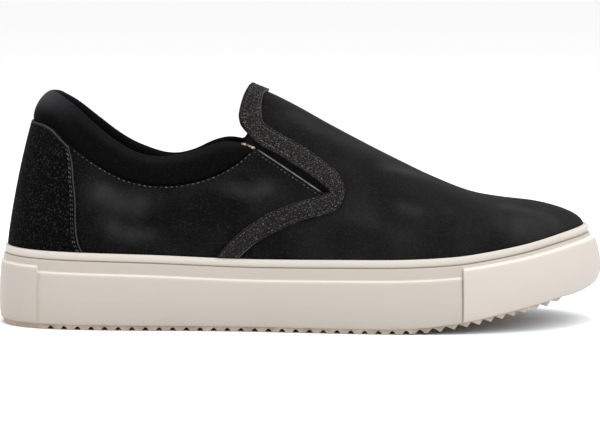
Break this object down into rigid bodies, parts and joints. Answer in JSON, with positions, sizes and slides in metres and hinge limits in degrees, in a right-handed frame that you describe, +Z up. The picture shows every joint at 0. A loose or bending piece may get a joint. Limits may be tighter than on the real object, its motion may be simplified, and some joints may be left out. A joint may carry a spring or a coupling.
{
  "type": "slip-on sneaker",
  "caption": "Low slip-on sneaker for the right foot: hollow dark suede upper with side elastics and a padded knit collar on a pale rubber cup sole with a notched tread.",
  "frame": {"origin": "on the floor under the middle of the shoe's bounding box", "axes": "+X towards the toe, +Z up, -Y towards the outer side of the right foot"},
  "size_m": [0.3024, 0.1046, 0.1193],
  "materials": {
    "outsole_rubber": "matte tan-grey tread rubber",
    "cup_rubber": "satin warm off-white moulded rubber",
    "footbed_foam": "dark textile over foam",
    "upper_nubuck": "near-black nubuck with a soft cloudy nap",
    "collar_knit": "dark ribbed knit, padded",
    "overlay_suede": "coarse dark suede",
    "elastic_web": "black woven elastic"
  },
  "bodies": {
    "root": {"outsole": "outsole_rubber", "cupsole": "cup_rubber", "insole": "footbed_foam", "upper": "upper_nubuck", "collar": "collar_knit", "heel_counter": "overlay_suede", "throat_strip": "overlay_suede", "gore_lateral": "elastic_web", "gore_medial": "elastic_web"}
  },
  "joints": []
}
